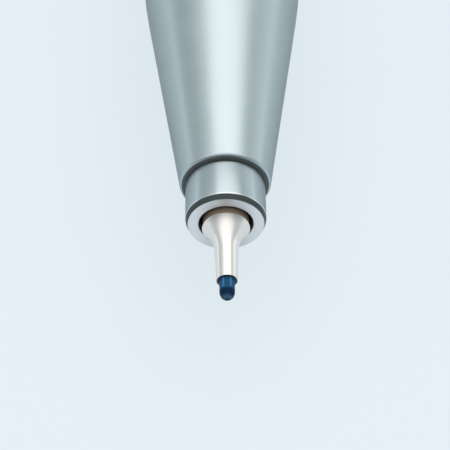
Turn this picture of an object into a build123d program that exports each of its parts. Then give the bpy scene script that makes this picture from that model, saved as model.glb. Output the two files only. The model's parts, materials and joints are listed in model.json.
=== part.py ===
"""A capped fineliner pen with a replaceable refill, lying on its clip with the cap posted on the tail.

The pen's axis is the Y axis and the nib points along -Y. The origin is on the axis, at the barrel's mouth,
where the grip section screws in. Sizes are in millimetres.
"""

import os
from math import cos, pi, radians, sin, tan

from build123d import *

# Fits and clearances, on the radius
press_fit = 0.02
nib_clearance = 0.02
refill_clearance = 0.15
thread_clearance = 0.07
cap_clearance = 0.15
seal_clearance = 0.05
pin_clearance = 0.05
face_gap = 0.02

# Refill: nib, flared sleeve, holder and tube
nib_diameter = 0.80
nib_straight = 0.77
nib_in_reservoir = 8.0
sleeve_length = 3.53
sleeve_rim_forward = 0.27
sleeve_rim_diameter = 2.53
sleeve_rim_land = 0.05
sleeve_flare_length = 1.55
sleeve_waist_wall = 0.20
sleeve_end_wall = 0.13
sleeve_end_chamfer = 0.05
shank_length = 4.0
holder_nose_diameter = 2.44
holder_nose_wall = 0.35
holder_shoulder = 0.65
holder_flange = 1.2
holder_plug_length = 5.0
refill_diameter = 6.10
refill_wall = 0.27
refill_length = 110.0
reservoir_clearance = 0.12
refill_plug_length = 5.0
refill_plug_flange = 1.2
vent_diameter = 0.8

# Nose collar
collar_bore_clearance = 0.23
collar_wall = 0.70
collar_length = 2.72
collar_groove_width = 0.10
collar_groove_depth = 0.18
collar_bevel_radial = 0.14
collar_bevel_axial = 0.33
spigot_wall = 0.38
spigot_length = 4.0

# Grip section
cone_step = 0.30
cone_edge_chamfer = 0.03
cone_half_angle = 8.4
nose_wall = 0.60
grip_length = 16.7
section_wall = 0.83
refill_front_gap = 0.5

# Snap ring on the grip
snap_ring_width = 1.4
snap_ring_depth = 0.35
snap_ring_proud = 0.10
snap_ring_lead = 0.40
snap_ring_split = 1.2
snap_ring_from_rear = 3.0

# Coupling between grip and barrel
coupling_wall = 0.75
coupling_spigot = 11.0
thread_pitch = 0.75
thread_turns = 8
coupling_lead = 3.0
o_ring_wire = 0.56
o_ring_groove_depth = 0.46
o_ring_groove_width = 0.80
o_ring_forward = 1.0

# Ring at the joint
joint_ring_width = 1.0
joint_ring_clearance = 0.10
joint_ring_chamfer = 0.20

# Barrel
bush_wall = 0.66
bush_spare_length = 1.0
barrel_wall = 0.80
shoulder_chamfer = 0.40
posting_length = 16.0
tail_gap = 2.5
spring_cup_depth = 5.0
tail_floor = 2.0
tail_flange = 1.4
tail_chamfer = 0.6

# Springs and rings of wire, whose sections have flat sides
wire_sides = 4
refill_spring_wire = 0.60
refill_spring_diameter = 5.0
refill_spring_turns = 4
spring_cup_clearance = 0.20
clip_spring_wire = 0.30
clip_spring_diameter = 1.40
clip_spring_turns = 3
clip_spring_clearance = 0.10
clip_spring_length = 3.4
spring_seat_gap = 0.02

# Cap
posting_gap = 0.10
cap_wall = 0.75
lip_ring_width = 1.8
lip_ring_proud = 0.10
lip_ring_wall = 0.40
lip_ring_chamfer = 0.15
seal_start = 0.6
seal_wall = 0.80
nib_room = 0.8
inner_cap_floor = 1.0
inner_cap_flange = 2.0
head_floor = 1.9
head_flange = 1.4
head_edge_chamfer = 0.35
finial_diameter = 9.8
finial_rim = 0.7
finial_bevel = 0.8
finial_bevel_height = 0.5
stud_diameter = 2.2
stud_length = 3.2

# Clip
clip_length = 35.0
clip_width = 5.2
clip_thickness = 0.9
clip_gap = 1.0
clip_touch = 0.15
clip_corner_round = 0.60
clip_edge_chamfer = 0.25
root_width = 2.4
root_height = 3.6
root_inset = 2.8
root_gap = 0.12
pocket_ceiling = 0.10
slot_side_clearance = 0.20
pin_diameter = 1.0
pin_inset = 1.20
clip_lift_limit = 6.0

# Radii that follow from the refill outwards
nib_r = nib_diameter / 2
nib_bore_r = nib_r + nib_clearance
holder_nose_r = holder_nose_diameter / 2
shank_bore_r = holder_nose_r - holder_nose_wall
shank_r = shank_bore_r - press_fit
refill_r = refill_diameter / 2
holder_stage_r = refill_r - holder_shoulder
refill_bore_r = refill_r - refill_wall
collar_bore_r = holder_nose_r + collar_bore_clearance
collar_r = collar_bore_r + collar_wall
spigot_r = collar_bore_r + spigot_wall
cone_end_r = collar_r + cone_step
stage_bore_r = holder_stage_r + refill_clearance
refill_way_r = refill_r + refill_clearance
thread_r = refill_way_r + coupling_wall
grip_r = thread_r + press_fit + section_wall
bush_bore_r = thread_r + thread_clearance
bush_r = bush_bore_r + bush_wall
barrel_bore_r = bush_r + press_fit
barrel_r = barrel_bore_r + barrel_wall
cap_bore_r = grip_r + cap_clearance
cap_r = cap_bore_r + cap_wall
lip_r = cap_r + lip_ring_proud
land_r = cap_bore_r - cap_clearance
land_bore_r = land_r - barrel_wall
seal_bore_r = collar_r + seal_clearance

# Places along the axis, from the joint to the nib
slope = tan(radians(cone_half_angle))
y_section_rear = -joint_ring_width
cone_length = (grip_r - cone_end_r) / slope
y_cone_end = y_section_rear - grip_length - cone_length
y_face = y_cone_end - collar_length
y_rim = y_face - sleeve_rim_forward
y_sleeve_end = y_rim - sleeve_length
y_dome = y_sleeve_end - nib_straight
y_nib_tip = y_dome - nib_r
y_stage = y_cone_end + (stage_bore_r + nose_wall - cone_end_r) / slope
y_refill_way = y_cone_end + (refill_way_r + nose_wall - cone_end_r) / slope
y_spigot = y_cone_end + min(spigot_length, y_stage - y_cone_end)
y_coupling_front = y_section_rear - coupling_spigot

# Places along the axis, from the refill's flange to the tail
y_flange = y_refill_way + refill_front_gap
y_tube = y_flange + holder_flange
y_reservoir = y_tube + holder_plug_length + face_gap
y_refill_end = y_nib_tip + refill_length
y_plug_flange = y_refill_end - refill_plug_flange
y_plug = y_plug_flange - refill_plug_length
thread_length = thread_pitch * thread_turns
y_coupling_rear = coupling_lead + thread_length
y_bush_rear = y_coupling_rear + bush_spare_length
y_tail_front = y_refill_end + tail_gap
y_cup_floor = y_tail_front + spring_cup_depth
y_tail = y_cup_floor + tail_floor
y_shoulder = y_tail - posting_length

# Radii of the clip's parts, from the pen's axis
head_r = cap_bore_r - press_fit
root_r = head_r - root_inset
pin_r = head_r - pin_inset
root_swing = ((cap_r - pin_r) ** 2 + (root_height / 2) ** 2) ** 0.5 * sin(radians(clip_lift_limit))
root_clearance = root_swing + root_gap
pocket_r = root_r - root_clearance
clip_spring_hole_r = clip_spring_diameter / 2 + clip_spring_clearance
clip_spring_r = root_r + clip_spring_hole_r
arm_r = cap_r + clip_gap
arm_top_r = arm_r + clip_thickness
slot_width = root_width + 2 * slot_side_clearance

# Places along the cap, from its mouth: where the closed cap meets the grip's parts, then the head
y_lip = y_shoulder + posting_gap
y_seal = y_lip + (y_section_rear - y_cone_end) + seal_start
y_seal_floor = y_lip + (y_section_rear - y_nib_tip) + nib_room
y_head = y_seal_floor + inner_cap_floor
y_clip_spring = y_head + head_floor
y_root = y_clip_spring + clip_spring_length
y_root_top = y_root + root_height
y_pin = (y_root + y_root_top) / 2
y_pocket = y_root - root_clearance
y_pocket_top = y_root_top + root_clearance
y_cap_top = y_pocket_top + pocket_ceiling
y_flange_top = y_cap_top + head_flange
y_clip_tip = y_cap_top - clip_length

# The plane through the pen's axis and the middle of the clip: x is away from the axis, y is along it. The clip
# is straight down, because a round pen that lies on its clip does not roll
clip_out = Vector(0, 0, -1)
clip_plane = Plane(origin=(0, 0, 0), x_dir=clip_out, z_dir=clip_out.cross(Vector(0, 1, 0)))


def lathe_face(*corners):
    """The closed outline of a turned piece, as corners of radius and place along the axis."""
    with BuildSketch(Plane.XY) as outline:
        with BuildLine():
            Polyline(*corners, close=True)
        make_face()
    return outline.sketch


def ring_edges(part, radius, place):
    """The circular edges of a turned piece that have a given radius and place along the axis."""
    near = 1e-4
    circles = part.edges().filter_by(GeomType.CIRCLE)
    return [e for e in circles if abs(e.radius - radius) < near and abs(e.arc_center.Y - place) < near]


def coil_points(plane, radius, length, turns):
    """Places and headings along a helix about the plane's z axis, a quarter turn apart."""
    rise = length / (2 * pi * turns)
    points = []
    headings = []
    for i in range(4 * turns + 1):
        angle = i * pi / 2
        outward = plane.x_dir * cos(angle) + plane.y_dir * sin(angle)
        around = plane.y_dir * cos(angle) - plane.x_dir * sin(angle)
        points.append(plane.origin + outward * radius + plane.z_dir * (rise * angle))
        headings.append((around * radius + plane.z_dir * rise).normalized())
    return points, headings


def arc_joint(start, start_heading, end, end_heading):
    """The point where two arcs meet that leave start and reach end along the given headings."""
    chord = end - start
    along = chord.dot(start_heading + end_heading)
    bend = 2 * (1 - start_heading.dot(end_heading))
    reach = (-along + (along**2 + bend * chord.dot(chord)) ** 0.5) / bend
    return (start + end + (start_heading - end_heading) * reach) * 0.5


def spring(plane, outer_diameter, wire, length, turns):
    """A coil of flat-sided wire about the plane's z axis, as one tube, and the least gap between its turns."""
    points, headings = coil_points(plane, (outer_diameter - wire) / 2, length - wire, turns)
    with BuildPart() as coil:
        with BuildLine() as path:
            for i in range(4 * turns):
                middle = arc_joint(points[i], headings[i], points[i + 1], headings[i + 1])
                first = TangentArc(points[i], middle, tangent=headings[i])
                TangentArc(middle, points[i + 1], tangent=first % 1)
        with BuildSketch(Plane(origin=path.line @ 0, z_dir=path.line % 0)):
            RegularPolygon(wire / 2, wire_sides)
        sweep()
    gaps = [(points[i + 4] - points[i]).length - wire for i in range(4 * turns - 3)]
    return coil.part, min(gaps)


# Nib: a fibre rod with a rounded end
with BuildPart() as fibre_nib:
    with BuildSketch(Plane.XY):
        with BuildLine():
            CenterArc((0, y_dome), nib_r, start_angle=270, arc_size=90)
            Polyline(
                (nib_r, y_dome),
                (nib_r, y_reservoir + nib_in_reservoir),
                (0, y_reservoir + nib_in_reservoir),
                (0, y_nib_tip),
            )
        make_face()
    revolve(axis=Axis.Y)

# Sleeve: flares from its end to the rim, with a shank behind the rim that sits in the holder
with BuildPart() as nib_sleeve:
    rim_r = sleeve_rim_diameter / 2
    waist_r = nib_bore_r + sleeve_waist_wall
    end_r = nib_bore_r + sleeve_end_wall
    y_waist = y_rim - sleeve_flare_length
    with BuildSketch(Plane.XY):
        with BuildLine():
            taper = Line((end_r, y_sleeve_end), (waist_r, y_waist))
            flare = TangentArc((waist_r, y_waist), (rim_r, y_rim - sleeve_rim_land), tangent=taper % 1)
            Polyline(
                flare @ 1,
                (rim_r, y_rim),
                (shank_r, y_rim),
                (shank_r, y_rim + shank_length),
                (nib_bore_r, y_rim + shank_length),
                (nib_bore_r, y_sleeve_end),
                (end_r, y_sleeve_end),
            )
        make_face()
    revolve(axis=Axis.Y)
    chamfer(ring_edges(nib_sleeve.part, end_r, y_sleeve_end), sleeve_end_chamfer)

# Holder: nose, stage that seats in the grip, flange on the tube and plug inside it
with BuildPart() as nib_holder:
    y_shank_floor = y_rim + shank_length + face_gap
    plug_r = refill_bore_r - press_fit
    revolve(
        lathe_face(
            (shank_bore_r, y_rim + face_gap),
            (holder_nose_r, y_rim + face_gap),
            (holder_nose_r, y_stage),
            (holder_stage_r, y_stage),
            (holder_stage_r, y_flange),
            (refill_r, y_flange),
            (refill_r, y_tube),
            (plug_r, y_tube),
            (plug_r, y_tube + holder_plug_length),
            (nib_bore_r, y_tube + holder_plug_length),
            (nib_bore_r, y_shank_floor),
            (shank_bore_r, y_shank_floor),
        ),
        axis=Axis.Y,
    )

# Refill tube
with BuildPart() as refill_tube:
    revolve(
        lathe_face(
            (refill_bore_r, y_tube),
            (refill_r, y_tube),
            (refill_r, y_plug_flange),
            (refill_bore_r, y_plug_flange),
        ),
        axis=Axis.Y,
    )

# Ink reservoir: a fibre rod with a hole that takes the back of the nib
with BuildPart() as ink_reservoir:
    reservoir_r = refill_bore_r - reservoir_clearance
    y_nib_hole = y_reservoir + nib_in_reservoir + face_gap
    revolve(
        lathe_face(
            (nib_bore_r, y_reservoir),
            (reservoir_r, y_reservoir),
            (reservoir_r, y_plug - face_gap),
            (0, y_plug - face_gap),
            (0, y_nib_hole),
            (nib_bore_r, y_nib_hole),
        ),
        axis=Axis.Y,
    )

# Rear plug of the refill, with its vent
with BuildPart() as refill_plug:
    plug_r = refill_bore_r - press_fit
    vent_r = vent_diameter / 2
    revolve(
        lathe_face(
            (vent_r, y_plug),
            (plug_r, y_plug),
            (plug_r, y_plug_flange),
            (refill_r, y_plug_flange),
            (refill_r, y_refill_end),
            (vent_r, y_refill_end),
        ),
        axis=Axis.Y,
    )

# Collar: a grooved, bevelled ring with a spigot behind it in the grip's nose
with BuildPart() as nose_collar:
    y_groove = y_cone_end - collar_groove_width
    groove_r = collar_r - collar_groove_depth
    revolve(
        lathe_face(
            (collar_bore_r, y_face),
            (collar_r - collar_bevel_radial, y_face),
            (collar_r, y_face + collar_bevel_axial),
            (collar_r, y_groove),
            (groove_r, y_groove),
            (groove_r, y_cone_end),
            (spigot_r, y_cone_end),
            (spigot_r, y_spigot),
            (collar_bore_r, y_spigot),
        ),
        axis=Axis.Y,
    )

# Grip: a straight rear part and a cone, with a stepped bore that stops the refill
with BuildPart() as section_shell:
    spigot_bore_r = spigot_r + press_fit
    coupling_bore_r = thread_r + press_fit
    y_ring = y_section_rear - snap_ring_from_rear
    ring_floor_r = grip_r - snap_ring_depth
    revolve(
        lathe_face(
            (cone_end_r, y_cone_end),
            (grip_r, y_cone_end + cone_length),
            (grip_r, y_section_rear),
            (coupling_bore_r, y_section_rear),
            (coupling_bore_r, y_coupling_front),
            (refill_way_r, y_coupling_front),
            (refill_way_r, y_refill_way),
            (stage_bore_r, y_refill_way),
            (stage_bore_r, y_stage),
            (spigot_bore_r, y_stage),
            (spigot_bore_r, y_cone_end),
        ),
        axis=Axis.Y,
    )
    chamfer(ring_edges(section_shell.part, cone_end_r, y_cone_end), cone_edge_chamfer)
    revolve(
        lathe_face(
            (ring_floor_r, y_ring),
            (grip_r + snap_ring_depth, y_ring),
            (grip_r + snap_ring_depth, y_ring - snap_ring_width),
            (ring_floor_r, y_ring - snap_ring_width),
        ),
        axis=Axis.Y,
        mode=Mode.SUBTRACT,
    )

# Snap ring: a split ring that stands a little proud of the grip
with BuildPart() as snap_ring:
    ring_in_r = ring_floor_r + press_fit
    ring_out_r = grip_r + snap_ring_proud
    y_ring_rear = y_ring - face_gap
    y_ring_front = y_ring - snap_ring_width + face_gap
    revolve(
        lathe_face(
            (ring_in_r, y_ring_front),
            (grip_r, y_ring_front),
            (ring_out_r, y_ring_front + snap_ring_lead),
            (ring_out_r, y_ring_rear - snap_ring_lead),
            (grip_r, y_ring_rear),
            (ring_in_r, y_ring_rear),
        ),
        axis=Axis.Y,
    )
    with BuildSketch(Plane.XY.offset(ring_in_r)):
        with Locations((0, (y_ring_rear + y_ring_front) / 2)):
            Rectangle(snap_ring_split, snap_ring_width)
    extrude(amount=snap_ring_depth + snap_ring_proud, both=True, mode=Mode.SUBTRACT)

# Coupling: its front is pressed into the grip, and the rear screws into the barrel
with BuildPart() as section_coupling:
    y_o_ring = o_ring_forward + o_ring_groove_width / 2
    o_ring_floor_r = thread_r - o_ring_groove_depth
    revolve(
        lathe_face(
            (refill_way_r, y_coupling_front + face_gap),
            (thread_r, y_coupling_front + face_gap),
            (thread_r, o_ring_forward),
            (o_ring_floor_r, o_ring_forward),
            (o_ring_floor_r, o_ring_forward + o_ring_groove_width),
            (thread_r, o_ring_forward + o_ring_groove_width),
            (thread_r, y_coupling_rear),
            (refill_way_r, y_coupling_rear),
        ),
        axis=Axis.Y,
    )

# Rubber ring in the coupling's groove
with BuildPart() as coupling_o_ring:
    o_ring_r = o_ring_floor_r + press_fit + o_ring_wire / 2
    with BuildSketch(Plane.XY):
        with Locations((o_ring_r, y_o_ring)):
            RegularPolygon(o_ring_wire / 2, wire_sides)
    revolve(axis=Axis.Y)

# Ring between grip and barrel, loose on the coupling
with BuildPart() as joint_ring:
    ring_hole_r = thread_r + joint_ring_clearance
    y_ring_end = y_section_rear + face_gap
    revolve(
        lathe_face(
            (ring_hole_r, y_ring_end),
            (barrel_r, y_ring_end),
            (barrel_r, -face_gap),
            (ring_hole_r, -face_gap),
        ),
        axis=Axis.Y,
    )
    rims = ring_edges(joint_ring.part, barrel_r, y_ring_end)
    rims += ring_edges(joint_ring.part, barrel_r, -face_gap)
    chamfer(rims, joint_ring_chamfer)

# Barrel: a tube drawn down at the tail, where the cap is posted
with BuildPart() as barrel_tube:
    y_inner_step = y_shoulder - barrel_wall
    revolve(
        lathe_face(
            (barrel_bore_r, 0),
            (barrel_r, 0),
            (barrel_r, y_shoulder),
            (land_r, y_shoulder),
            (land_r, y_tail),
            (land_bore_r, y_tail),
            (land_bore_r, y_inner_step),
            (barrel_bore_r, y_inner_step),
        ),
        axis=Axis.Y,
    )
    chamfer(ring_edges(barrel_tube.part, barrel_r, y_shoulder), shoulder_chamfer)

# Threaded bush in the barrel's mouth, with room for the rubber ring
with BuildPart() as barrel_bush:
    o_ring_room_r = o_ring_r + o_ring_wire / 2 + thread_clearance
    y_o_ring_room = o_ring_forward + 2 * o_ring_groove_width
    revolve(
        lathe_face(
            (o_ring_room_r, 0),
            (bush_r, 0),
            (bush_r, y_bush_rear),
            (bush_bore_r, y_bush_rear),
            (bush_bore_r, y_o_ring_room),
            (o_ring_room_r, y_o_ring_room),
        ),
        axis=Axis.Y,
    )

# Tail plug: a cup for the spring, with a flange that closes the barrel
with BuildPart() as tail_plug:
    cup_r = refill_spring_diameter / 2 + spring_cup_clearance
    tail_r = land_bore_r - press_fit
    y_tail_end = y_tail + tail_flange
    revolve(
        lathe_face(
            (0, y_tail_end),
            (land_r, y_tail_end),
            (land_r, y_tail),
            (tail_r, y_tail),
            (tail_r, y_tail_front),
            (cup_r, y_tail_front),
            (cup_r, y_cup_floor),
            (0, y_cup_floor),
        ),
        axis=Axis.Y,
    )
    chamfer(ring_edges(tail_plug.part, land_r, y_tail_end), tail_chamfer)

# Spring between the tail plug and the refill
y_spring = y_refill_end + spring_seat_gap + refill_spring_wire / 2
refill_spring, refill_spring_gap = spring(
    Plane(origin=(0, y_spring, 0), z_dir=(0, 1, 0)),
    refill_spring_diameter,
    refill_spring_wire,
    y_cup_floor - y_refill_end - 2 * spring_seat_gap,
    refill_spring_turns,
)

# Cap tube: thinned at the mouth for the lip ring, with a notch for the clip at the closed end
with BuildPart() as cap_tube:
    y_lip_rear = y_lip + lip_ring_width
    neck_r = lip_r - lip_ring_wall
    revolve(
        lathe_face(
            (cap_bore_r, y_lip),
            (neck_r, y_lip),
            (neck_r, y_lip_rear),
            (cap_r, y_lip_rear),
            (cap_r, y_cap_top),
            (cap_bore_r, y_cap_top),
        ),
        axis=Axis.Y,
    )
    with BuildSketch(clip_plane):
        with Locations((pin_r, y_pocket)):
            Rectangle(arm_r - pin_r, y_cap_top - y_pocket, align=(Align.MIN, Align.MIN))
    extrude(amount=slot_width / 2, both=True, mode=Mode.SUBTRACT)

# Lip ring: grips the thinned part
with BuildPart() as cap_lip_ring:
    revolve(
        lathe_face(
            (neck_r + press_fit, y_lip),
            (lip_r, y_lip),
            (lip_r, y_lip_rear),
            (neck_r + press_fit, y_lip_rear),
        ),
        axis=Axis.Y,
    )
    rims = ring_edges(cap_lip_ring.part, lip_r, y_lip) + ring_edges(cap_lip_ring.part, lip_r, y_lip_rear)
    chamfer(rims, lip_ring_chamfer)

# Inner cap: a sealing tube over the collar and nib, on a flange that grips the cap tube
with BuildPart() as inner_cap:
    inner_cap_r = cap_bore_r - press_fit
    seal_r = seal_bore_r + seal_wall
    y_inner_flange = y_head - inner_cap_flange
    revolve(
        lathe_face(
            (seal_bore_r, y_seal),
            (seal_r, y_seal),
            (seal_r, y_inner_flange),
            (inner_cap_r, y_inner_flange),
            (inner_cap_r, y_head),
            (0, y_head),
            (0, y_seal_floor),
            (seal_bore_r, y_seal_floor),
        ),
        axis=Axis.Y,
    )
    chamfer(ring_edges(inner_cap.part, seal_bore_r, y_seal), seal_wall / 2)

# Head: fills the closed end of the cap, with a pocket for the clip's root and a hole for its spring
with BuildPart() as cap_head:
    stud_hole_r = stud_diameter / 2 + press_fit
    y_stud_hole = y_flange_top - stud_length - face_gap
    revolve(
        lathe_face(
            (0, y_head),
            (head_r, y_head),
            (head_r, y_cap_top),
            (cap_r, y_cap_top),
            (cap_r, y_flange_top),
            (stud_hole_r, y_flange_top),
            (stud_hole_r, y_stud_hole),
            (0, y_stud_hole),
        ),
        axis=Axis.Y,
    )
    chamfer(ring_edges(cap_head.part, cap_r, y_flange_top), head_edge_chamfer)
    with BuildSketch(clip_plane):
        with Locations((pocket_r, y_pocket)):
            Rectangle(cap_r - pocket_r, y_pocket_top - y_pocket, align=(Align.MIN, Align.MIN))
    extrude(amount=slot_width / 2, both=True, mode=Mode.SUBTRACT)
    with BuildSketch(clip_plane):
        with Locations((pin_r, y_pin)):
            Circle(pin_diameter / 2 + press_fit)
    extrude(amount=cap_r, both=True, mode=Mode.SUBTRACT)
    with BuildSketch(Plane(origin=clip_out * clip_spring_r + Vector(0, y_clip_spring, 0), z_dir=(0, 1, 0))):
        Circle(clip_spring_hole_r)
    extrude(amount=clip_spring_length, mode=Mode.SUBTRACT)

# Finial: a bevelled button on a stud
with BuildPart() as cap_finial:
    finial_r = finial_diameter / 2
    stud_r = stud_diameter / 2
    y_finial_rim = y_flange_top + finial_rim
    y_finial_top = y_finial_rim + finial_bevel_height
    revolve(
        lathe_face(
            (0, y_finial_top),
            (finial_r - finial_bevel, y_finial_top),
            (finial_r, y_finial_rim),
            (finial_r, y_flange_top),
            (stud_r, y_flange_top),
            (stud_r, y_flange_top - stud_length),
            (0, y_flange_top - stud_length),
        ),
        axis=Axis.Y,
    )

# Clip: a flat arm with a rounded foot at its tip, and a root that turns on the pin
with BuildPart() as clip:
    foot_r = clip_gap - clip_touch
    y_foot = y_clip_tip + foot_r
    with BuildSketch(clip_plane) as side:
        with Locations((arm_r, y_clip_tip)):
            Rectangle(clip_thickness, clip_length, align=(Align.MIN, Align.MIN))
        fillet(side.vertices().group_by(Axis.X)[-1], clip_corner_round)
        with Locations((arm_r, y_foot)):
            Circle(foot_r)
    extrude(amount=clip_width / 2, both=True)
    along = clip.edges().filter_by(Axis.Y)
    top_edges = [e for e in along if abs((e @ 0.5).dot(clip_out) - arm_top_r) < face_gap]
    chamfer(top_edges, clip_edge_chamfer)
    with BuildSketch(clip_plane):
        with Locations((root_r, y_root)):
            Rectangle(arm_r - root_r, root_height, align=(Align.MIN, Align.MIN))
    extrude(amount=root_width / 2, both=True)
    with BuildSketch(clip_plane):
        with Locations((pin_r, y_pin)):
            Circle(pin_diameter / 2 + pin_clearance)
    extrude(amount=clip_width, both=True, mode=Mode.SUBTRACT)

# Pin across the head, kept in by the tube
with BuildPart() as clip_pin:
    pin_half_length = (head_r**2 - (pin_r + pin_diameter / 2) ** 2) ** 0.5
    with BuildSketch(clip_plane):
        with Locations((pin_r, y_pin)):
            Circle(pin_diameter / 2)
    extrude(amount=pin_half_length, both=True)

# Spring under the clip's root
y_coil = y_clip_spring + spring_seat_gap + clip_spring_wire / 2
clip_spring, clip_spring_gap = spring(
    Plane(origin=clip_out * clip_spring_r + Vector(0, y_coil, 0), z_dir=(0, 1, 0)),
    clip_spring_diameter,
    clip_spring_wire,
    clip_spring_length - 2 * spring_seat_gap,
    clip_spring_turns,
)

pieces = {
    "fibre_nib": fibre_nib.part,
    "nib_sleeve": nib_sleeve.part,
    "nib_holder": nib_holder.part,
    "refill_tube": refill_tube.part,
    "ink_reservoir": ink_reservoir.part,
    "refill_plug": refill_plug.part,
    "nose_collar": nose_collar.part,
    "section_shell": section_shell.part,
    "snap_ring": snap_ring.part,
    "section_coupling": section_coupling.part,
    "coupling_o_ring": coupling_o_ring.part,
    "joint_ring": joint_ring.part,
    "barrel_tube": barrel_tube.part,
    "barrel_bush": barrel_bush.part,
    "tail_plug": tail_plug.part,
    "refill_spring": refill_spring,
    "cap_tube": cap_tube.part,
    "cap_lip_ring": cap_lip_ring.part,
    "inner_cap": inner_cap.part,
    "cap_head": cap_head.part,
    "cap_finial": cap_finial.part,
    "clip": clip.part,
    "clip_pin": clip_pin.part,
    "clip_spring": clip_spring,
}

os.makedirs("parts", exist_ok=True)
for name, piece in pieces.items():
    piece.label = name
    export_step(piece, f"parts/{name}.step")

print(f"gap between turns: refill spring {refill_spring_gap:.2f} mm, clip spring {clip_spring_gap:.2f} mm")
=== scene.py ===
"""The looks of a capped fineliner pen.

Fine turned forms, a thread, springs and a clip stand for plainer solids; finishes, light and camera follow.
Sizes are in millimetres, and MM turns them into Blender's metres. The pen's axis is Y and the nib is at -Y.
A radius is measured from that axis and a place along it.
"""

import json
import math

import bmesh
import bpy
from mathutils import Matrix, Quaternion, Vector


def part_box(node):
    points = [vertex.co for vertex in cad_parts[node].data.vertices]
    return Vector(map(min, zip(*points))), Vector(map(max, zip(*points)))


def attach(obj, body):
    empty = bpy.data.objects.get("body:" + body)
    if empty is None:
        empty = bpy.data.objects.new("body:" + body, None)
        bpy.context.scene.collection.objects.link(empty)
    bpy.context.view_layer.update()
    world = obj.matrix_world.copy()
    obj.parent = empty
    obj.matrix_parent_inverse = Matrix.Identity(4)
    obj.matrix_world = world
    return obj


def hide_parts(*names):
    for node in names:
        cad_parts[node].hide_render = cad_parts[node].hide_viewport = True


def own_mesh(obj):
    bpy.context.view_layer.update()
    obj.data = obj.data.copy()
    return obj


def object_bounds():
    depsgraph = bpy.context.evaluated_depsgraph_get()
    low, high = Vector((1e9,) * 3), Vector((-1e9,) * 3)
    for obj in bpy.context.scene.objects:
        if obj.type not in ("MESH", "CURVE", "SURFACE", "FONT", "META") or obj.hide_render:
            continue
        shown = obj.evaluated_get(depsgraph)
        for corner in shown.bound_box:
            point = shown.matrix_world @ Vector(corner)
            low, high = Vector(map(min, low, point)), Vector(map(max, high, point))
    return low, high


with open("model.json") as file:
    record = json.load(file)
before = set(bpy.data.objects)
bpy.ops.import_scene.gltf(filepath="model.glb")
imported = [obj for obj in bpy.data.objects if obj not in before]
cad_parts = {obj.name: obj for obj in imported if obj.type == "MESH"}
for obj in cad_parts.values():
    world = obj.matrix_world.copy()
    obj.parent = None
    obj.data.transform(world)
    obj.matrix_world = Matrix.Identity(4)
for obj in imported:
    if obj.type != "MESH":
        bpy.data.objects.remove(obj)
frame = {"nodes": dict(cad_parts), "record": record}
cad_low, cad_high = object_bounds()

MM = 0.001

# Fineness of the forms, and the play of pressed pieces
turn_segments = 128
rounding_steps = 4
flare_steps = 24
dome_steps = 16
foot_steps = 16
wire_segments = 12
coil_segments = 40
o_ring_segments = 24
sharp_angle = math.radians(42)
smallest_radius = 1e-6
fit = 0.02

# Nib and sleeve
nib_dome = 0.48
nib_bore = 0.42
sleeve_end_radius = 0.55
sleeve_waist_radius = 0.62
sleeve_flare_length = 1.55
sleeve_rim_land = 0.05
sleeve_rim_forward = 0.27
sleeve_shank_radius = 0.85
sleeve_end_round = 0.05

# Collar at the nose
collar_wall = 0.70
collar_groove_width = 0.15
collar_groove_depth = 0.18
collar_bevel_radial = 0.13
collar_bevel_axial = 0.30
collar_spigot_wall = 0.38
collar_edge_round = 0.04
collar_front_round = 0.45
# Width of the band at the collar's front edge that gets a painted highlight
painted_highlight_width = 0.11

# Grip section
cone_end_radius = 2.45
cone_slope = math.tan(math.radians(8.4))
cone_blend_round = 40.0
cone_edge_round = 0.20
snap_groove_floor = 4.45
shell_edge_round = 0.08
shell_rear_bore = 3.97
shell_refill_bore = 3.20
shell_stage_bore = 2.55
nose_wall = 0.60

# Coupling and its thread
thread_pitch = 0.75
thread_depth = 0.40
thread_start = 3.0
thread_crest_share = 0.25
thread_run_out = 0.6
coupling_bore = 3.20
o_ring_wire = 0.56
o_ring_groove_floor = 3.49
o_ring_groove_width = 0.80

# Joint ring, barrel and tail
joint_ring_bore = 4.05
joint_ring_round = 0.24
barrel_bore = 4.70
barrel_mouth_round = 0.12
barrel_land_radius = 4.80
barrel_land_bore = 4.00
barrel_land_step = 0.80
shoulder_bevel = 0.40
posting_length = 16.0
tail_spigot_radius = 3.98
spring_cup_radius = 2.70
spring_cup_depth = 5.0
tail_bevel = 0.60
small_round = 0.06

# Springs
refill_spring_wire = 0.60
refill_spring_turns = 4
clip_spring_wire = 0.30
clip_spring_turns = 3
closed_turns = 1

# Cap trim and clip
lip_ring_wall = 0.38
lip_ring_round = 0.16
finial_bevel = 0.80
finial_bevel_height = 0.50
finial_stud_radius = 1.10
finial_round = 0.20
clip_thickness = 0.90
clip_foot_radius = 0.85
clip_corner_round = 0.60
clip_edge_round = 0.22
clip_edge_steps = 3
round_profile = 0.5
root_width = 2.4
root_height = 3.6
root_from_end = 0.5


def box_mm(node):
    """Lowest and highest corner of a solid, in millimetres."""
    low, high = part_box(node)
    return low / MM, high / MM


def rounded(corners):
    """Points of a closed outline whose corners, as radius, place and rounding, become small curves."""
    points = []
    for i, (radius, place, rounding) in enumerate(corners):
        here = Vector((radius, place))
        if rounding == 0:
            points.append(here)
            continue
        before = Vector(corners[i - 1][:2]) - here
        after = Vector(corners[(i + 1) % len(corners)][:2]) - here
        reach = rounding / math.tan(before.angle(after) / 2)
        reach = min(reach, before.length / 2, after.length / 2)
        start = here + before.normalized() * reach
        end = here + after.normalized() * reach
        for step in range(rounding_steps + 1):
            share = step / rounding_steps
            points.append(start * (1 - share) ** 2 + here * 2 * share * (1 - share) + end * share**2)
    return points


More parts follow.
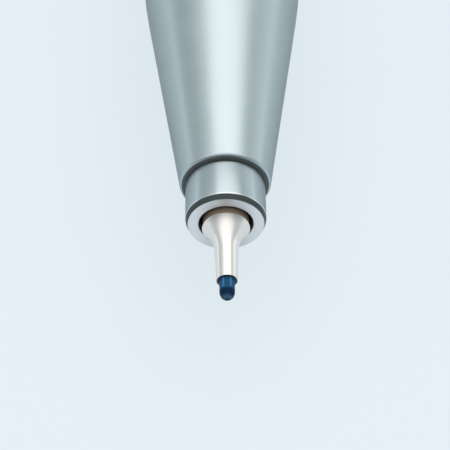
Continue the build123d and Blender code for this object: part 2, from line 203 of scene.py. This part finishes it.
def tangent_arc(start, heading, end, steps):
    """Points of the arc that leaves start along heading and reaches end, without start itself."""
    side = Vector((-heading.y, heading.x)).normalized()
    chord = end - start
    radius = chord.length_squared / (2 * chord.dot(side))
    centre = start + side * radius
    first = start - centre
    sweep = (end - centre).angle_signed(first)
    points = []
    for step in range(1, steps + 1):
        turn = sweep * step / steps
        x = first.x * math.cos(turn) - first.y * math.sin(turn)
        y = first.x * math.sin(turn) + first.y * math.cos(turn)
        points.append(centre + Vector((x, y)))
    return points


# Places and radii that the solids give
collar_low, collar_high = box_mm("nose_collar")
shell_low, shell_high = box_mm("section_shell")
sleeve_low, sleeve_high = box_mm("nib_sleeve")
nib_low, nib_high = box_mm("fibre_nib")
snap_low, snap_high = box_mm("snap_ring")
coupling_low, coupling_high = box_mm("section_coupling")
o_ring_low, o_ring_high = box_mm("coupling_o_ring")
joint_low, joint_high = box_mm("joint_ring")
barrel_low, barrel_high = box_mm("barrel_tube")
tail_low, tail_high = box_mm("tail_plug")
refill_spring_low, refill_spring_high = box_mm("refill_spring")
clip_spring_low, clip_spring_high = box_mm("clip_spring")
lip_low, lip_high = box_mm("cap_lip_ring")
finial_low, finial_high = box_mm("cap_finial")
clip_low, clip_high = box_mm("clip")
y_head_end = box_mm("cap_head")[1].y

collar_radius = collar_high.x
collar_bore = collar_radius - collar_wall
spigot_radius = collar_bore + collar_spigot_wall
y_face = collar_low.y
y_cone_end = shell_low.y
y_rim = y_face - sleeve_rim_forward
rim_radius = sleeve_high.x
grip_radius = shell_high.x
y_cone_top = y_cone_end + (grip_radius - cone_end_radius) / cone_slope
y_refill_step = y_cone_end + (shell_refill_bore + nose_wall - cone_end_radius) / cone_slope
y_stage_step = y_cone_end + (shell_stage_bore + nose_wall - cone_end_radius) / cone_slope
y_shoulder = barrel_high.y - posting_length


def spin(shape, outline):
    """Adds a closed outline of radius and place, swept about the pen's axis, to a mesh."""
    rings = []
    for radius, place in outline:
        if radius < smallest_radius:
            rings.append([shape.verts.new((0, place * MM, 0))])
            continue
        ring = []
        for i in range(turn_segments):
            angle = 2 * math.pi * i / turn_segments
            spot = Vector((radius * math.cos(angle), place, radius * math.sin(angle)))
            ring.append(shape.verts.new(spot * MM))
        rings.append(ring)
    for one, other in zip(rings, rings[1:] + rings[:1]):
        if len(one) == 1 and len(other) == 1:
            continue
        for i in range(turn_segments):
            following = (i + 1) % turn_segments
            corners = [one[i % len(one)], one[following % len(one)]]
            corners += [other[following % len(other)], other[i % len(other)]]
            shape.faces.new(list(dict.fromkeys(corners)))


def sweep(shape, sections):
    """Joins a row of sections with equal numbers of points into a closed solid, and adds it to a mesh."""
    rings = [[shape.verts.new(spot * MM) for spot in section] for section in sections]
    count = len(rings[0])
    for one, other in zip(rings, rings[1:]):
        for i in range(count):
            following = (i + 1) % count
            shape.faces.new((one[i], one[following], other[following], other[i]))
    shape.faces.new(rings[0])
    shape.faces.new(rings[-1])


def plate(shape, outline, low, high):
    """Adds a plate to a mesh: an outline of radius and place below the axis, from low to high in X."""
    sweep(shape, [[Vector((x, place, -radius)) for radius, place in outline] for x in (low, high)])


def make(name, shape):
    """Turns a mesh in work into a smooth piece with sharp corners."""
    bmesh.ops.recalc_face_normals(shape, faces=shape.faces)
    mesh = bpy.data.meshes.new(name)
    shape.to_mesh(mesh)
    shape.free()
    mesh.shade_smooth()
    mesh.set_sharp_from_angle(angle=sharp_angle)
    piece = bpy.data.objects.new(name, mesh)
    bpy.context.scene.collection.objects.link(piece)
    return piece


def keep_flat(piece):
    """Keeps large faces flat beside small roundings, by weighing the normals with the size of the faces."""
    weigh = piece.modifiers.new("keep_flat", "WEIGHTED_NORMAL")
    weigh.keep_sharp = True
    return piece


def lathe(name, outline):
    """A piece turned from an outline."""
    shape = bmesh.new()
    spin(shape, outline)
    return keep_flat(make(name, shape))


def coil(name, centre, low, high, radius, wire, turns):
    """A spring of round wire about a line along Y, with closed turns at both ends."""
    length = high - low - wire
    pitch = (length - 2 * closed_turns * wire) / turns
    all_turns = turns + 2 * closed_turns
    sections = []
    for step in range(all_turns * coil_segments + 1):
        turned = step / coil_segments
        first = min(turned, closed_turns)
        last = max(turned - closed_turns - turns, 0)
        place = low + wire / 2 + (first + last) * wire + (turned - first - last) * pitch
        angle = 2 * math.pi * turned
        out = Vector((math.sin(angle), 0, math.cos(angle)))
        middle = centre + out * radius + Vector((0, place, 0))
        section = []
        for i in range(wire_segments):
            around = 2 * math.pi * i / wire_segments
            away = out * math.cos(around) + Vector((0, 1, 0)) * math.sin(around)
            section.append(middle + away * wire / 2)
        sections.append(section)
    shape = bmesh.new()
    sweep(shape, sections)
    return make(name, shape)


def thread_ridge(shape, root, crest, low, high):
    """Adds a right-handed thread to a mesh, which rises out of its core and sinks back into it."""
    turns = (high - low - thread_pitch) / thread_pitch
    steps = round(turns * turn_segments)
    sections = []
    for step in range(steps + 1):
        turned = turns * step / steps
        rise = min(1, turned / thread_run_out, (turns - turned) / thread_run_out)
        top = root + (crest - root) * rise
        place = low + turned * thread_pitch
        flat = thread_pitch * thread_crest_share / 2
        profile = [
            (root - fit, place),
            (top, place + thread_pitch / 2 - flat),
            (top, place + thread_pitch / 2 + flat),
            (root - fit, place + thread_pitch),
        ]
        angle = 2 * math.pi * turned
        sections.append(
            [Vector((radius * math.sin(angle), y, radius * math.cos(angle))) for radius, y in profile]
        )
    sweep(shape, sections)


def add_node(tree, kind, inputs=None, **settings):
    """A new shader node, with its settings, whose inputs are linked to a socket or set to a value."""
    added = tree.nodes.new("ShaderNode" + kind)
    for setting, value in settings.items():
        setattr(added, setting, value)
    for socket, value in (inputs or {}).items():
        if isinstance(value, bpy.types.NodeSocket):
            tree.links.new(value, added.inputs[socket])
        else:
            added.inputs[socket].default_value = value
    return added


def calculated(tree, operation, *values):
    """The result of a sum with sockets and numbers."""
    return add_node(tree, "Math", dict(enumerate(values)), operation=operation).outputs["Value"]


def mapped(tree, value, low, high, to_low=0, to_high=1):
    """A value taken from one range to another."""
    inputs = {"Value": value, "From Min": low, "From Max": high, "To Min": to_low, "To Max": to_high}
    return add_node(tree, "MapRange", inputs).outputs["Result"]


def mixed(tree, factor, first, second, blend_type="MIX"):
    """Two colours mixed by a factor."""
    inputs = {"Factor": factor, "A": first, "B": second}
    return add_node(tree, "Mix", inputs, data_type="RGBA", blend_type=blend_type).outputs["Result"]


def noise(tree, where, size, detail):
    """A noise with features of a size in millimetres."""
    inputs = {"Vector": where, "Scale": 1 / (size * MM), "Detail": detail}
    return add_node(tree, "TexNoise", inputs).outputs["Fac"]


def rings_about_axis(tree, where):
    """The distance from the pen's axis and the place along it, which are the same all the way around."""
    split = add_node(tree, "SeparateXYZ", {"Vector": where}).outputs
    across = add_node(tree, "CombineXYZ", {"X": split["X"], "Z": split["Z"]}).outputs["Vector"]
    distance = add_node(tree, "VectorMath", {0: across}, operation="LENGTH").outputs["Value"]
    return add_node(tree, "CombineXYZ", {"X": distance, "Y": split["Y"]}).outputs["Vector"]


def surface(name, colour, roughness, sockets, grain=0.08, shade=0.05, relief=0.0, drawn="evenly"):
    """A finish with soft clouds and a fine grain, drawn out around the axis or along it where asked."""
    cloud_size = 2.5
    cloud_detail = 3
    grain_detail = 2
    along_stretch = (1, 0.06, 1)
    noise_low = 0.6
    noise_high = 1.4
    finish = bpy.data.materials.new(name)
    finish.use_nodes = True
    tree = finish.node_tree
    shader = tree.nodes["Principled BSDF"].inputs
    for socket, value in sockets.items():
        shader[socket].default_value = value
    where = add_node(tree, "TexCoord").outputs["Object"]
    grain_where = where
    if drawn == "around":
        grain_where = rings_about_axis(tree, where)
        tangent = add_node(tree, "Tangent", direction_type="RADIAL", axis="Y").outputs["Tangent"]
        tree.links.new(tangent, shader["Tangent"])
    elif drawn == "along":
        stretched = add_node(tree, "VectorMath", {0: where, 1: along_stretch}, operation="MULTIPLY")
        grain_where = stretched.outputs["Vector"]
    clouds = noise(tree, where, cloud_size, cloud_detail)
    marks = noise(tree, grain_where, grain, grain_detail)
    both = calculated(tree, "ADD", clouds, marks)
    darker = [c * (1 - shade) for c in colour] + [1]
    lighter = [min(1, c * (1 + shade)) for c in colour] + [1]
    tint = mixed(tree, mapped(tree, both, noise_low, noise_high), darker, lighter)
    tree.links.new(tint, shader["Base Color"])
    tree.links.new(mapped(tree, both, noise_low, noise_high, *roughness), shader["Roughness"])
    if relief > 0:
        bump = add_node(tree, "Bump", {"Height": marks, "Strength": 1, "Distance": relief * MM})
        tree.links.new(bump.outputs["Normal"], shader["Normal"])
    return finish


def inked_fibre_with_painted_light():
    """Fibre soaked with blue ink, with painted light: lighter stripes on its straight part are flutes and
    painted highlight streaks, and its dome has painted shade at the tip and shoulder with a painted
    highlight ring between.
    """
    # Along the nib from its tip: painted shade at the tip, a painted highlight ring, painted shade on the
    # dome's shoulder, then the ink's own blue
    ink_and_painted_light = (
        (0.000, (0.030, 0.070, 0.130)),
        (0.012, (0.045, 0.100, 0.180)),
        (0.045, (0.095, 0.195, 0.330)),
        (0.100, (0.040, 0.110, 0.210)),
        (0.170, (0.005, 0.036, 0.086)),
        (0.400, (0.002, 0.028, 0.070)),
        (0.470, (0.018, 0.095, 0.210)),
    )
    # Lighter stripes along the straight part: flutes and painted highlight streaks
    flute_highlight_count = 6
    flute_highlight_colour = (0.07, 0.27, 0.57, 1)
    flute_highlight_edge = 0.2
    flute_highlight_strength = 0.85
    flute_highlight_start = 0.46
    flute_highlight_full = 0.56
    finish = surface(
        "nib_fibre",
        (0.8, 0.8, 0.8),
        (0.34, 0.48),
        {"Specular IOR Level": 0.06},
        grain=0.07,
        shade=0.25,
        relief=0.004,
        drawn="along",
    )
    tree = finish.node_tree
    base = tree.nodes["Principled BSDF"].inputs["Base Color"]
    variation = base.links[0].from_socket
    where = add_node(tree, "TexCoord").outputs["Object"]
    split = add_node(tree, "SeparateXYZ", {"Vector": where}).outputs
    along = mapped(tree, split["Y"], nib_low.y * MM, sleeve_low.y * MM)
    ramp = add_node(tree, "ValToRGB", {"Fac": along})
    stops = ramp.color_ramp.elements
    for i, (position, colour) in enumerate(ink_and_painted_light):
        stop = stops[0] if i == 0 else stops.new(position)
        stop.position = position
        stop.color = (*colour, 1)
    stops.remove(stops[-1])
    around = calculated(tree, "ARCTAN2", split["X"], split["Z"])
    wave = calculated(tree, "COSINE", calculated(tree, "MULTIPLY_ADD", around, flute_highlight_count, math.pi))
    ridge = mapped(tree, wave, flute_highlight_edge, 1, to_high=flute_highlight_strength)
    straight = mapped(tree, along, flute_highlight_start, flute_highlight_full)
    flute_highlight = calculated(tree, "MULTIPLY", ridge, straight)
    fluted_with_highlights = mixed(tree, flute_highlight, ramp.outputs["Color"], flute_highlight_colour)
    tree.links.new(mixed(tree, 1, fluted_with_highlights, variation, "MULTIPLY"), base)
    return finish


# Finishes, one for each material slot of the record
quarter_turn = 0.25
metal = {"Metallic": 1.0}
satin = {**metal, "Specular Tint": (0.55, 0.55, 0.55, 1)}
lathe_marks = {**satin, "Anisotropic": 0.2, "Anisotropic Rotation": quarter_turn}
face_marks = {**metal, "Anisotropic": 0.96, "Anisotropic Rotation": quarter_turn}
finishes = {
    "satin_metal": surface(
        "satin_metal", (0.49, 0.57, 0.59), (0.30, 0.40), satin, grain=0.05, relief=0.0015
    ),
    "turned_steel": surface(
        "turned_steel",
        (0.48, 0.56, 0.585),
        (0.26, 0.34),
        lathe_marks,
        grain=0.05,
        relief=0.001,
        drawn="around",
    ),
    "polished_trim": surface(
        "polished_trim", (0.60, 0.62, 0.635), (0.06, 0.12), metal, shade=0.03, relief=0.0004
    ),
    "polished_nickel": surface(
        "polished_nickel", (0.87, 0.84, 0.81), (0.22, 0.28), metal, shade=0.02, relief=0.0002
    ),
    "nib_fibre": inked_fibre_with_painted_light(),
    "tan_plastic": surface(
        "tan_plastic", (0.26, 0.20, 0.14), (0.40, 0.52), {}, shade=0.08, relief=0.002
    ),
    "refill_plastic": surface(
        "refill_plastic", (0.72, 0.75, 0.78), (0.22, 0.32), {}, shade=0.04, relief=0.002
    ),
    "reservoir_fibre": surface(
        "reservoir_fibre",
        (0.05, 0.12, 0.32),
        (0.75, 0.90),
        {},
        grain=0.06,
        shade=0.25,
        relief=0.01,
        drawn="along",
    ),
    "black_plastic": surface(
        "black_plastic", (0.025, 0.025, 0.028), (0.38, 0.50), {}, shade=0.15, relief=0.002
    ),
    "brass": surface(
        "brass",
        (0.70, 0.50, 0.22),
        (0.18, 0.28),
        lathe_marks,
        grain=0.06,
        relief=0.001,
        drawn="around",
    ),
    "rubber": surface(
        "rubber", (0.018, 0.018, 0.018), (0.60, 0.75), {}, shade=0.2, relief=0.004
    ),
    "spring_steel": surface(
        "spring_steel", (0.50, 0.51, 0.53), (0.18, 0.28), metal, shade=0.06, relief=0.001
    ),
}

# Second finishes, for a few faces of the turned pieces: painted shade, a painted dark reflection, painted
# highlights and a dark end face
dull = {"Specular IOR Level": 0.2}
# Painted shade: a dull dark finish for the step, groove and bore between the collar and the grip shell
painted_shade_step = surface("painted_shade_step", (0.14, 0.16, 0.16), (0.40, 0.50), dull, shade=0.10, relief=0.001)
# Painted dark reflection: a dull dark finish on the collar's bevel in place of what its metal would reflect
painted_dark_reflection_bevel = surface("painted_dark_reflection_bevel", (0.055, 0.070, 0.070), (0.34, 0.44), dull, shade=0.10, relief=0.001)
# Painted highlight: the collar's face is a much brighter copy of its turned steel; its strong turned marks
# are real
painted_bright_turned_face = surface(
    "painted_bright_turned_face",
    (0.91, 0.97, 1.0),
    (0.38, 0.48),
    face_marks,
    grain=0.06,
    shade=0.10,
    relief=0.002,
    drawn="around",
)
# Painted highlight: a brighter, smoother copy of the collar's steel for a thin band at its front edge
painted_highlight_edge = surface("painted_highlight_edge", (0.58, 0.64, 0.66), (0.20, 0.30), metal, shade=0.04, relief=0.0005)
# A dull dark finish for the sleeve's end face
dark_end_face = surface("dark_end_face", (0.018, 0.032, 0.042), (0.30, 0.42), {}, shade=0.2, relief=0.001)

for subpart in frame["record"]["subparts"]:
    solid = frame["nodes"][subpart["node"]].data
    solid.materials.clear()
    solid.materials.append(finishes[subpart["material_slot"]])


def stand_for(piece, node):
    """A piece takes the place of a CAD node: it rides on the node's body and has the node's finish."""
    body = next(b for b, members in frame["record"]["behaviour"]["bodies"].items() if node in members)
    slot = next(s["material_slot"] for s in frame["record"]["subparts"] if s["node"] == node)
    piece.data.materials.append(finishes[slot])
    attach(piece, body)
    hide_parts(node)


def turned(node, corners):
    """A piece turned from an outline with rounded corners, which takes the place of a CAD node."""
    piece = lathe("turned_" + node, rounded(corners))
    stand_for(piece, node)
    return piece


def paint(piece, finish, covers):
    """Gives a second finish to the faces whose middle, as radius and place, is covered."""
    piece.data.materials.append(finish)
    for face in piece.data.polygons:
        if covers(math.hypot(face.center.x, face.center.z) / MM, face.center.y / MM):
            face.material_index = len(piece.data.materials) - 1


# Collar, with painted light: its face and front edge are brighter copies of its steel as painted
# highlights, its bevel has a painted dark reflection and its groove painted shade
y_collar_rear = y_cone_end - collar_groove_width
groove_radius = collar_radius - collar_groove_depth
bevel_radius = collar_radius - collar_bevel_radial
y_bevel_top = y_face + collar_bevel_axial
nose_collar = turned(
    "nose_collar",
    [
        (collar_bore, y_face, collar_edge_round),
        (bevel_radius, y_face, 0),
        (collar_radius, y_bevel_top, collar_front_round),
        (collar_radius, y_collar_rear, collar_edge_round),
        (groove_radius, y_collar_rear, 0),
        (groove_radius, y_cone_end, 0),
        (spigot_radius, y_cone_end, 0),
        (spigot_radius, collar_high.y, 0),
        (collar_bore, collar_high.y, 0),
    ],
)
# The face gets the brighter copy of the steel, a painted highlight
paint(nose_collar, painted_bright_turned_face, lambda radius, place: place < y_face + fit)
# The bevel gets the painted dark reflection
paint(
    nose_collar,
    painted_dark_reflection_bevel,
    lambda radius, place: radius > bevel_radius and y_face + fit < place < y_bevel_top - fit,
)
# The band at the front edge gets the painted highlight
paint(
    nose_collar,
    painted_highlight_edge,
    lambda radius, place: radius > bevel_radius and -fit < place - y_bevel_top < painted_highlight_width,
)
# Painted shade on the collar's rear face, groove, spigot and bore
paint(nose_collar, painted_shade_step, lambda radius, place: place > y_collar_rear - fit)

# Sleeve, whose end face is coloured dark
sleeve_start = Vector((sleeve_end_radius, sleeve_low.y))
sleeve_waist = Vector((sleeve_waist_radius, y_rim - sleeve_flare_length))
sleeve_rim = Vector((rim_radius, y_rim - sleeve_rim_land))
sleeve_outline = rounded(
    [
        (nib_bore, sleeve_start.y, 0),
        (sleeve_start.x, sleeve_start.y, sleeve_end_round),
        (sleeve_waist.x, sleeve_waist.y, 0),
    ]
)
sleeve_outline += tangent_arc(sleeve_waist, sleeve_waist - sleeve_start, sleeve_rim, flare_steps)
sleeve_outline += rounded(
    [
        (rim_radius, y_rim, 0),
        (sleeve_shank_radius, y_rim, 0),
        (sleeve_shank_radius, sleeve_high.y, 0),
        (nib_bore, sleeve_high.y, 0),
    ]
)
nib_sleeve = lathe("turned_nib_sleeve", sleeve_outline)
stand_for(nib_sleeve, "nib_sleeve")
paint(nib_sleeve, dark_end_face, lambda radius, place: place < sleeve_low.y + fit / 2)

# Nib, with a long dome
nib_outline = []
for step in range(dome_steps + 1):
    angle = math.pi / 2 * step / dome_steps
    nib_outline.append(Vector((nib_high.x * math.sin(angle), nib_low.y + nib_dome * (1 - math.cos(angle)))))
nib_outline += [Vector((nib_high.x, nib_high.y)), Vector((0, nib_high.y))]
stand_for(lathe("round_fibre_nib", nib_outline), "fibre_nib")

# Grip shell, whose end face gets the same painted shade as the collar's groove
section_shell = turned(
    "section_shell",
    [
        (spigot_radius + fit, y_cone_end, 0),
        (cone_end_radius, y_cone_end, cone_edge_round),
        (grip_radius, y_cone_top, cone_blend_round),
        (grip_radius, snap_low.y - fit, small_round),
        (snap_groove_floor, snap_low.y - fit, 0),
        (snap_groove_floor, snap_high.y + fit, 0),
        (grip_radius, snap_high.y + fit, small_round),
        (grip_radius, shell_high.y, shell_edge_round),
        (shell_rear_bore, shell_high.y, 0),
        (shell_rear_bore, coupling_low.y - fit, 0),
        (shell_refill_bore, coupling_low.y - fit, 0),
        (shell_refill_bore, y_refill_step, 0),
        (shell_stage_bore, y_refill_step, 0),
        (shell_stage_bore, y_stage_step, 0),
        (spigot_radius + fit, y_stage_step, 0),
    ],
)
# Painted shade on the shell's end face
paint(section_shell, painted_shade_step, lambda radius, place: place < y_cone_end + fit / 2)

# Coupling with its thread, and the round ring of rubber in its groove
thread_root = coupling_high.x - thread_depth
y_o_ring = (o_ring_low.y + o_ring_high.y) / 2
coupling = bmesh.new()
spin(
    coupling,
    rounded(
        [
            (coupling_bore, coupling_low.y, 0),
            (coupling_high.x, coupling_low.y, small_round),
            (coupling_high.x, y_o_ring - o_ring_groove_width / 2, small_round),
            (o_ring_groove_floor, y_o_ring - o_ring_groove_width / 2, 0),
            (o_ring_groove_floor, y_o_ring + o_ring_groove_width / 2, 0),
            (coupling_high.x, y_o_ring + o_ring_groove_width / 2, small_round),
            (coupling_high.x, thread_start - thread_depth, small_round),
            (thread_root, thread_start, 0),
            (thread_root, coupling_high.y, small_round),
            (coupling_bore, coupling_high.y, 0),
        ]
    ),
)
thread_ridge(coupling, thread_root, coupling_high.x, thread_start, coupling_high.y)
stand_for(keep_flat(make("threaded_coupling", coupling)), "section_coupling")

o_ring_outline = []
for i in range(o_ring_segments):
    angle = 2 * math.pi * i / o_ring_segments
    away = Vector((math.cos(angle), math.sin(angle))) * o_ring_wire / 2
    o_ring_outline.append(Vector((o_ring_high.x - o_ring_wire / 2, y_o_ring)) + away)
stand_for(lathe("round_o_ring", o_ring_outline), "coupling_o_ring")

# Joint ring, barrel and tail plug
turned(
    "joint_ring",
    [
        (joint_ring_bore, joint_low.y, 0),
        (joint_high.x, joint_low.y, joint_ring_round),
        (joint_high.x, joint_high.y, joint_ring_round),
        (joint_ring_bore, joint_high.y, 0),
    ],
)

turned(
    "barrel_tube",
    [
        (barrel_bore, barrel_low.y, 0),
        (barrel_high.x, barrel_low.y, barrel_mouth_round),
        (barrel_high.x, y_shoulder - shoulder_bevel, small_round),
        (barrel_high.x - shoulder_bevel, y_shoulder, small_round),
        (barrel_land_radius, y_shoulder, 0),
        (barrel_land_radius, barrel_high.y, small_round),
        (barrel_land_bore, barrel_high.y, 0),
        (barrel_land_bore, y_shoulder - barrel_land_step, 0),
        (barrel_bore, y_shoulder - barrel_land_step, 0),
    ],
)

turned(
    "tail_plug",
    [
        (spring_cup_radius, tail_low.y, small_round),
        (tail_spigot_radius, tail_low.y, small_round),
        (tail_spigot_radius, barrel_high.y, 0),
        (tail_high.x, barrel_high.y, small_round),
        (tail_high.x, tail_high.y - tail_bevel, small_round),
        (tail_high.x - tail_bevel, tail_high.y, small_round),
        (0, tail_high.y, 0),
        (0, tail_low.y + spring_cup_depth, 0),
        (spring_cup_radius, tail_low.y + spring_cup_depth, 0),
    ],
)

# Springs of round wire
refill_spring = coil(
    "round_wire_refill_spring",
    Vector((0, 0, 0)),
    refill_spring_low.y,
    refill_spring_high.y,
    refill_spring_high.x - refill_spring_wire / 2,
    refill_spring_wire,
    refill_spring_turns,
)
stand_for(refill_spring, "refill_spring")
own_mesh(refill_spring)

clip_spring = coil(
    "round_wire_clip_spring",
    Vector((0, 0, (clip_spring_low.z + clip_spring_high.z) / 2)),
    clip_spring_low.y,
    clip_spring_high.y,
    clip_spring_high.x - clip_spring_wire / 2,
    clip_spring_wire,
    clip_spring_turns,
)
stand_for(clip_spring, "clip_spring")
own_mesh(clip_spring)

# Trim of the cap
turned(
    "cap_lip_ring",
    [
        (lip_high.x - lip_ring_wall, lip_low.y, 0),
        (lip_high.x, lip_low.y, lip_ring_round),
        (lip_high.x, lip_high.y, lip_ring_round),
        (lip_high.x - lip_ring_wall, lip_high.y, 0),
    ],
)

turned(
    "cap_finial",
    [
        (0, finial_low.y, 0),
        (finial_stud_radius, finial_low.y, 0),
        (finial_stud_radius, y_head_end, 0),
        (finial_high.x, y_head_end, small_round),
        (finial_high.x, finial_high.y - finial_bevel_height, finial_round),
        (finial_high.x - finial_bevel, finial_high.y, finial_round),
        (0, finial_high.y, 0),
    ],
)

# Clip: an arm with a round foot, and the root that goes into the cap's head
clip_top = -clip_low.z
arm_radius = clip_top - clip_thickness
clip_outline = rounded(
    [
        (arm_radius, clip_high.y, 0),
        (clip_top, clip_high.y, clip_corner_round),
        (clip_top, clip_low.y, clip_corner_round),
        (arm_radius, clip_low.y, 0),
    ]
)
y_foot = clip_low.y + clip_foot_radius
for step in range(1, foot_steps + 1):
    angle = math.pi * step / foot_steps
    radius = arm_radius - clip_foot_radius * math.sin(angle)
    clip_outline.append(Vector((radius, y_foot - clip_foot_radius * math.cos(angle))))
clip_shape = bmesh.new()
plate(clip_shape, clip_outline, clip_low.x, clip_high.x)
bmesh.ops.recalc_face_normals(clip_shape, faces=clip_shape.faces)
sharp_edges = [edge for edge in clip_shape.edges if edge.calc_face_angle() > sharp_angle]
bmesh.ops.bevel(
    clip_shape,
    geom=sharp_edges,
    offset=clip_edge_round * MM,
    segments=clip_edge_steps,
    profile=round_profile,
    affect="EDGES",
    clamp_overlap=True,
)
root_reach = -clip_high.z
y_root = clip_high.y - root_from_end
root_corners = [
    (root_reach, y_root),
    (arm_radius + fit, y_root),
    (arm_radius + fit, y_root - root_height),
    (root_reach, y_root - root_height),
]
plate(clip_shape, root_corners, -root_width / 2, root_width / 2)
stand_for(keep_flat(make("rounded_clip", clip_shape)), "clip")


def pale_paper():
    """A pale blue paper that keeps the pen's shadow and looks evenly pale, also in the metal."""
    colour = (0.70, 0.75, 0.80)
    even_colour = (0.85, 0.94, 1.0, 1)
    share_in_view = 0.72
    share_in_metal = 0.45
    finish = surface("floor_paper", colour, (0.85, 0.95), {}, grain=0.3, shade=0.01)
    tree = finish.node_tree
    ray = add_node(tree, "LightPath").outputs
    bounced = calculated(tree, "MAXIMUM", ray["Is Glossy Ray"], ray["Is Transmission Ray"])
    in_metal = calculated(tree, "MULTIPLY", bounced, share_in_metal)
    share = calculated(tree, "MULTIPLY_ADD", ray["Is Camera Ray"], share_in_view, in_metal)
    lit = tree.nodes["Principled BSDF"].outputs["BSDF"]
    even = add_node(tree, "Emission", {"Color": even_colour}).outputs["Emission"]
    both = add_node(tree, "MixShader", {"Fac": share, 1: lit, 2: even})
    tree.links.new(both.outputs["Shader"], tree.nodes["Material Output"].inputs["Surface"])
    return finish


# Floor under the pen
floor_size = 8.0
half = floor_size / 2
floor_corners = [(-half, -half, 0), (half, -half, 0), (half, half, 0), (-half, half, 0)]
floor_mesh = bpy.data.meshes.new("floor")
floor_mesh.from_pydata(floor_corners, [], [range(len(floor_corners))])
floor_mesh.materials.append(pale_paper())
floor = bpy.data.objects.new("floor", floor_mesh)
floor.location.z = cad_low.z
bpy.context.scene.collection.objects.link(floor)

# World: a bright ceiling over grey walls, as pale as the floor at their foot and dark on the nib's side
ceiling = (1.20, 1.20, 1.20, 1)
grey_wall = (0.55, 0.60, 0.61, 1)
wall_foot = (0.80, 0.87, 0.92, 1)
dark_wall = (0.16, 0.18, 0.19, 1)
ceiling_from = 0.54
ceiling_full = 0.90
wall_foot_height = 0.12
dark_from = -0.35
dark_full = -0.80
world = bpy.data.worlds.new("studio")
world.use_nodes = True
bpy.context.scene.world = world
sky = world.node_tree
direction = add_node(sky, "TexCoord").outputs["Generated"]
towards = add_node(sky, "SeparateXYZ", {"Vector": direction}).outputs
walls = mixed(sky, mapped(sky, towards["Z"], wall_foot_height, 0), grey_wall, wall_foot)
walls = mixed(sky, mapped(sky, towards["Y"], dark_from, dark_full), walls, dark_wall)
room = mixed(sky, mapped(sky, towards["Z"], ceiling_from, ceiling_full), walls, ceiling)
sky.links.new(room, sky.nodes["Background"].inputs["Color"])

# Lamps
nose = Vector((0, y_face, 0)) * MM
lamp_colour = (1, 0.93, 0.90)


def softbox(name, azimuth, elevation, distance, width, depth, radiance):
    """A soft, slightly warm lamp that faces the pen's nose, of a given brightness as seen from there."""
    lamp = bpy.data.lights.new(name, "AREA")
    lamp.color = lamp_colour
    lamp.shape = "RECTANGLE"
    lamp.size = width
    lamp.size_y = depth
    lamp.energy = radiance * math.pi * width * depth
    holder = bpy.data.objects.new(name, lamp)
    around = math.radians(azimuth)
    up = math.radians(elevation)
    away = Vector((math.sin(around) * math.cos(up), -math.cos(around) * math.cos(up), math.sin(up)))
    holder.location = nose + away * distance
    holder.rotation_euler = away.to_track_quat("Z", "Y").to_euler()
    holder.visible_camera = False
    bpy.context.scene.collection.objects.link(holder)
    return holder


softbox("back_softbox", azimuth=169, elevation=58, distance=0.6, width=0.60, depth=0.39, radiance=0.72)
softbox("right_fill", azimuth=128, elevation=12, distance=0.7, width=0.50, depth=0.30, radiance=0.32)

# Low strips at both sides, which only show in the metal
for name, azimuth, radiance in (("left_strip", 242, 0.70), ("right_strip", 118, 0.45)):
    strip = softbox(name, azimuth, elevation=3, distance=0.5, width=0.34, depth=0.05, radiance=radiance)
    strip.visible_diffuse = False

# Camera, at the photograph's angle
photo_pixels = 450
pixels_per_mm = 18.98
view_elevation = math.radians(50.0)
view_distance = 80.0
view_roll = math.radians(-1.0)
sensor = 36.0
centre_left = 1.0
centre_down = 0.7
nearest_seen = 1.0
lens_data = bpy.data.cameras.new("camera")
lens_data.sensor_width = sensor
lens_data.lens = sensor * view_distance * pixels_per_mm / photo_pixels
lens_data.clip_start = nearest_seen * MM
camera = bpy.data.objects.new("camera", lens_data)
back = Vector((0, -math.cos(view_elevation), math.sin(view_elevation)))
facing = (-back).to_track_quat("-Z", "Y") @ Quaternion((0, 0, 1), view_roll)
aim = nose + facing @ Vector((-centre_left, -centre_down, 0)) / pixels_per_mm * MM
camera.location = aim + back * view_distance * MM
camera.rotation_mode = "QUATERNION"
camera.rotation_quaternion = facing
bpy.context.scene.collection.objects.link(camera)
bpy.context.scene.camera = camera
bpy.context.scene.view_settings.view_transform = "Standard"
